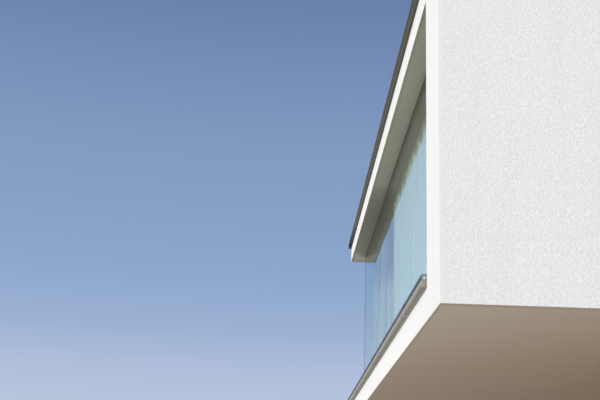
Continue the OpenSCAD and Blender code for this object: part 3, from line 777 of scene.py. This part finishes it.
# %% Hang the curtains
HEM, HEADING = 0.003, 2.540

def curtain(name, node, panels, seed):
    """panels lists each length of cloth: its start and end as shares of the solid's width,
    and its number of folds. Hem and heading are heights over the solid's underside."""
    low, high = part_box(node)
    hung = [folds(low.x + a * (high.x - low.x), low.x + b * (high.x - low.x), count, seed + n,
                  low.z + HEADING, low.z + HEM, (low.y + high.y) / 2)
            for n, (a, b, count) in enumerate(panels)]
    flat = np.concatenate([f.reshape(-1, 2) for _, f in hung])
    made = surface(name, [p for p, _ in hung], finishes["curtain_cloth"],
                   flat=flat)
    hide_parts(node)
    print(name, "is cut", round(sum(float(f[..., 0].max()) for _, f in hung), 2), "m wide")

NEAR_PANELS = [(0, 1, 44)]
FAR_PANELS = [(0, 0.325, 8), (0.365, 0.655, 7), (0.695, 1, 7)]
curtain("near_curtain_cloth", "near_curtain", NEAR_PANELS, 4)
curtain("far_curtain_cloth", "far_curtain", FAR_PANELS, 9)

# %% [markdown]
# ## Gliders
# Each fold hangs from a glider: a stem through the slot of the track and a flat roller
# inside it. Turned shapes with a dozen sides are enough, because they are tiny.

# %% Put gliders in the track
def gliders():
    """A glider for each fold, evenly spread over each length of cloth."""
    track_low = side("curtain_track", "low", "z")
    profile = [(0, -0.0035), (0.003, -0.0035), (0.0035, 0.004), (0.0035, 0.0045),
               (0.010, 0.0045), (0.0105, 0.006), (0.0105, 0.0085), (0.009, 0.0095), (0, 0.0095)]
    places = []
    for node, panels in (("near_curtain", NEAR_PANELS), ("far_curtain", FAR_PANELS)):
        start, end = (corner.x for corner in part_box(node))
        wide = end - start
        for a, b, count in panels:
            places += list(np.linspace(start + a * wide + 0.03, start + b * wide - 0.03, count))
    return [turned(profile, (x, CURTAIN_LINE, track_low), steps=12) for x in places]

surface("curtain_gliders", gliders(), finishes["white_plastic"], across=True)

# %% [markdown]
# ## Gaskets and seals of the glass front
# The glass stands in its channels on rubber, and a thin rounded lip closes the gap on
# both sides. Where two panes meet, the joint is filled with silicone that is drawn
# slightly hollow. These are profiles carried along the line of the glass.

# %% Run the gaskets round the glass
def lip(turn):
    """Rounded rubber lip, 5.5 mm wide and 6 mm high, that leans on the glass; turn is 1
    where it stands and -1 where it hangs."""
    t = np.linspace(0, np.pi / 2, 6)
    arc = np.stack([0.0055 * np.cos(t), 0.006 * np.sin(t) ** 0.8], -1)
    foot = (0.0004, -0.0002)
    return np.vstack([[foot], arc + foot]) * (1, turn)

def glass_line(away, z):
    """The L-shaped line of the glass in plan: along the front, then back along the side."""
    outside = away > 0
    y = GLASS_OUT if outside else GLASS_IN
    x = SIDE_GLASS_OUT if outside else SIDE_GLASS_IN
    return [(PIER, y, z), (x, y, z), (x, BACK_END, z)]

def gaskets():
    """Lips at foot and head, outside and inside; the one at the soffit is half as big."""
    made = []
    for away, head in ((1, SOFFIT_LOW), (-1, HEAD_LOW)):
        for z, turn in ((BASE_TOP, 1), (head, -1)):
            small = 0.5 if z == SOFFIT_LOW else 1
            made.append(carried(lip(turn) * (away * small, small), glass_line(away, z), (0, 0, 1)))
    return made

surface("glass_gaskets", gaskets(), finishes["glazing_rubber"], across=True)

# %% Fill the joints between panes
JOINT_ENDS = side("far_glass", "high", "x"), side("near_glass", "low", "x")
JOINT, JOINT_WIDTH = sum(JOINT_ENDS) / 2, JOINT_ENDS[1] - JOINT_ENDS[0]
GLASS_MIDDLE = (GLASS_OUT + GLASS_IN) / 2
silicone = finishes["grey_silicone"]

def hollow_joint(width, depth):
    """Outline of a joint filler whose two outer faces are drawn in by 1.2 mm."""
    t = np.linspace(-1, 1, 7)
    front = np.stack([t * width / 2, -depth / 2 + 0.0012 * (1 - t ** 2)], -1)
    return np.vstack([front, front[::-1] * (1, -1)])

seal = carried(hollow_joint(JOINT_WIDTH, GLASS_IN - GLASS_OUT - 0.001),
               [(JOINT, GLASS_MIDDLE, BASE_TOP), (JOINT, GLASS_MIDDLE, SOFFIT_LOW)], (0, 1, 0))
surface("glass_joint_seal", [seal], silicone, across=True, smooth=False)

def corner_bead():
    """A fillet in the inner corner between the two end panes, with a hollow face."""
    t = np.linspace(0, np.pi / 2, 7)
    hollow = 0.014 * (1 - np.stack([np.sin(t), np.cos(t)], -1)) + 0.0003
    outline = np.vstack([[(0.0003, 0.0003)], hollow])
    path = [(SIDE_GLASS_IN, GLASS_IN, BASE_TOP), (SIDE_GLASS_IN, GLASS_IN, HEAD_LOW)]
    return carried(outline, path, (0, 1, 0))

surface("glass_corner_seal", [corner_bead()], silicone, across=True, smooth=False)

# %% [markdown]
# ## Window gaskets and handles
# Each window pane is held between rubber lips on both faces. On the room side a small
# lever handle sits on an oval plate in the middle of one upright.

# %% Fit gaskets to the windows
BEAD_RADIUS = 0.0035
REBATE = 0.0142

def window_gaskets(pane):
    """A closed loop of half-round rubber on each face of the pane, at the rebate's edge."""
    low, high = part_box(pane)
    x0, x1, z0, z1 = low.x + REBATE, high.x - REBATE, low.z + REBATE, high.z - REBATE
    t = np.linspace(0, np.pi, 7)
    made = []
    for y, way in ((low.y, -1), (high.y, 1)):
        bead = BEAD_RADIUS * np.stack([np.cos(t) - 1, way * np.sin(t)], -1)
        loop = [(x0, y, z0), (x1, y, z0), (x1, y, z1), (x0, y, z1)]
        made.append(carried(bead, loop, (0, 1, 0), closed=True))
    return made

for name in ("upper", "lower", "front"):
    surface(f"{name}_window_gaskets", window_gaskets(f"{name}_window_pane"),
            finishes["gasket_rubber"], around=True, across=True)

# %% Fit handles to the windows
HANDLE_IN = 0.030

def handle(frame_node, room_way):
    """Plate, neck and lever; room_way is +1 where the room lies towards +Y. The lever
    points away from the upright that carries it."""
    low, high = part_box(frame_node)
    x = high.x - HANDLE_IN if room_way > 0 else low.x + HANDLE_IN
    y = high.y if room_way > 0 else low.y

    def at(along, out):
        return x - room_way * along, y + room_way * out, (low.z + high.z) / 2

    plate = carried(rounded(0.028, 0.07, 0.0135), [at(0, 0), at(0, 0.009)], (0, 0, 1))
    neck = turned([(0, 0), (0.009, 0), (0.0085, 0.02), (0.0075, 0.034), (0, 0.034)],
                  at(0, 0.008), (0, room_way, 0))
    lever = carried(rounded(0.011, 0.02, 0.005),
                    [at(-0.009, 0.046), at(0.05, 0.048), at(0.118, 0.046)], (0, 0, 1))
    return [plate, neck, lever]

for name, room_way in (("upper", -1), ("lower", -1), ("front", 1)):
    grids = handle(f"{name}_window_frame", room_way)
    for part, grid in zip(("plate", "neck", "lever"), grids):
        surface(f"{name}_window_{part}", [grid], finishes["white_aluminium"],
                across=True)

# %% [markdown]
# ## Door fittings
# The door hangs on three barrel hinges and has a round lock plate below the pull bar.
# Both are turned shapes.

# %% Fit hinges and lock
def door_fittings():
    """Three hinges and the lock plate, all on the outer face of the door leaf."""
    low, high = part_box("door_leaf")
    barrel = [(0, -0.058), (0.005, -0.056), (0.007, -0.05), (0.009, -0.05), (0.009, -0.0006),
              (0.0078, -0.0006), (0.0078, 0.0006), (0.009, 0.0006), (0.009, 0.05), (0.007, 0.05),
              (0.005, 0.056), (0, 0.058)]
    hinges = [turned(barrel, (low.x - 0.0015, low.y - 0.0092, z), steps=20)
              for z in (low.z + 0.25, (low.z + high.z) / 2 + 0.3, high.z - 0.25)]
    plate = [(0, -0.011), (0.008, -0.011), (0.009, -0.010), (0.009, -0.007), (0.024, -0.007),
             (0.027, -0.005), (0.0275, 0), (0, 0)]
    lock = turned(plate, (high.x - 0.055, low.y, low.z + 1.02), (0, 1, 0), steps=32)
    return hinges, lock

hinges, lock = door_fittings()
surface("door_hinges", hinges, finishes["pull_steel"], across=True)
surface("door_lock", [lock], finishes["pull_steel"], across=True)

# %% [markdown]
# ## Sky, light and floor
# The sky behind the house is deep blue overhead and pale near the horizon. The camera,
# mirrors and clear glass see that gradient; everything else is lit by an even white sky
# and one large soft lamp, so the finishes show their own colour. The pale floor catches
# the shadow of the house.

# %% Make the sky
def sky():
    """The colour goes by the height of the direction, 0 at the horizon and 1 overhead."""
    world = bpy.data.worlds.new("sky")
    world.use_nodes = True
    tree = world.node_tree
    tree.nodes.clear()
    direction = Wire.node(tree, "TexCoord").out("Generated")
    height = Wire.node(tree, "SeparateXYZ", None, {0: direction}).out("Z")
    stops = [(0.0, (0.62, 0.67, 0.74, 1)), (0.117, (0.450, 0.543, 0.714, 1)),
             (0.142, (0.423, 0.509, 0.696, 1)), (0.180, (0.330, 0.442, 0.652, 1)),
             (0.234, (0.266, 0.385, 0.609, 1)), (0.292, (0.242, 0.352, 0.566, 1)),
             (0.349, (0.223, 0.328, 0.530, 1)), (0.403, (0.196, 0.287, 0.488, 1)),
             (0.482, (0.146, 0.222, 0.408, 1)), (1.0, (0.10, 0.155, 0.32, 1))]
    blue = Wire.node(tree, "ValToRGB", {"stops": stops}, {0: height})
    path = Wire.node(tree, "LightPath")
    seen = path.out("Is Camera Ray") + path.out("Is Glossy Ray")
    seen = (seen + path.out("Is Transmission Ray")).clamp()
    colour = Wire.node(tree, "Mix", {"data_type": "RGBA"},
                       {"Factor": seen, "A": (0.67, 0.67, 0.675, 1), "B": blue})
    shown = Wire.node(tree, "Background", None, {"Color": colour, "Strength": 1.0})
    end = tree.nodes.new("ShaderNodeOutputWorld")
    tree.links.new(shown.socket, end.inputs["Surface"])
    return world

scene.world = sky()
scene.view_settings.view_transform = "Standard"
print("sky ready")

# %% Make the lamp and the floor
def soft_lamp(direction, strength, angle):
    """A sun from that direction; a wide angle in degrees makes its shadows soft."""
    lamp = bpy.data.lights.new("soft_sun", "SUN")
    lamp.energy, lamp.angle, lamp.color = strength, np.radians(angle), (1.0, 0.985, 0.955)
    made = bpy.data.objects.new("soft_sun", lamp)
    made.matrix_world = Vector(direction).to_track_quat("Z", "Y").to_matrix().to_4x4()
    scene.collection.objects.link(made)

def pale_floor(radius, rings=13, spokes=96):
    """A flat disc: points (r cos t, r sin t) with r = radius * share ** 2."""
    finish = Finish("pale_floor", Roughness=0.9)
    clouds = finish.noise(2.5, detail=4)
    finish.set(Base_Color=finish.times((0.70, 0.71, 0.725), 0.97 + 0.05 * clouds))
    t = np.linspace(0, 2 * np.pi, spokes, endpoint=False)[None, :]
    r = radius * np.linspace(0, 1, rings)[:, None] ** 2
    points = np.stack(np.broadcast_arrays(r * np.cos(t), r * np.sin(t), -0.002 + 0 * r), -1)
    mesh = bpy.data.meshes.new("floor")
    mesh.from_pydata(points.reshape(-1, 3).tolist(), [],
                     grid_faces(rings, spokes, False, True).tolist())
    made = bpy.data.objects.new("floor", mesh)
    mesh.materials.append(finish.material)
    scene.collection.objects.link(made)

soft_lamp(direction=(0.55, -0.80, 0.20), strength=1.80, angle=10)
pale_floor(radius=70)
print("lamp and floor ready")

# %% [markdown]
# ## Camera
# The picture looks up at the near corner along the glass front. The camera stands at eye
# height, a little in front of the facade, is turned hardly at all, looks up by fifteen
# degrees and is tilted sideways by nearly two. A small vertical shift frames it.

# %% Place the camera
EYE = (12.7601, -6.1967, 1.4597)
YAW, PITCH, ROLL = 0.01335, 0.26381, 0.03052
LENS, SHIFT_UP = 60.13, 0.08

def camera_axes(yaw, pitch, roll):
    """Right, up and back. The level view runs along (-cos yaw, sin yaw, 0); pitch lifts it,
    and roll turns right and up round it."""
    level = np.array([-np.cos(yaw), np.sin(yaw), 0])
    right = np.array([np.sin(yaw), np.cos(yaw), 0])
    ahead = np.cos(pitch) * level + np.sin(pitch) * np.array([0, 0, 1])
    up = np.cross(right, ahead)
    return (np.cos(roll) * right + np.sin(roll) * up,
            np.cos(roll) * up - np.sin(roll) * right, -ahead)

def place_camera():
    data = bpy.data.cameras.new("camera")
    data.sensor_fit, data.sensor_width, data.lens = "HORIZONTAL", 36.0, LENS
    data.shift_y = SHIFT_UP
    data.clip_end = 500
    made = bpy.data.objects.new("camera", data)
    axes = np.array(camera_axes(YAW, PITCH, ROLL)).T
    matrix = Matrix(axes.tolist()).to_4x4()
    matrix.translation = EYE
    made.matrix_world = matrix
    scene.collection.objects.link(made)
    scene.camera = made

place_camera()
print("camera at", tuple(round(v, 3) for v in scene.camera.location))
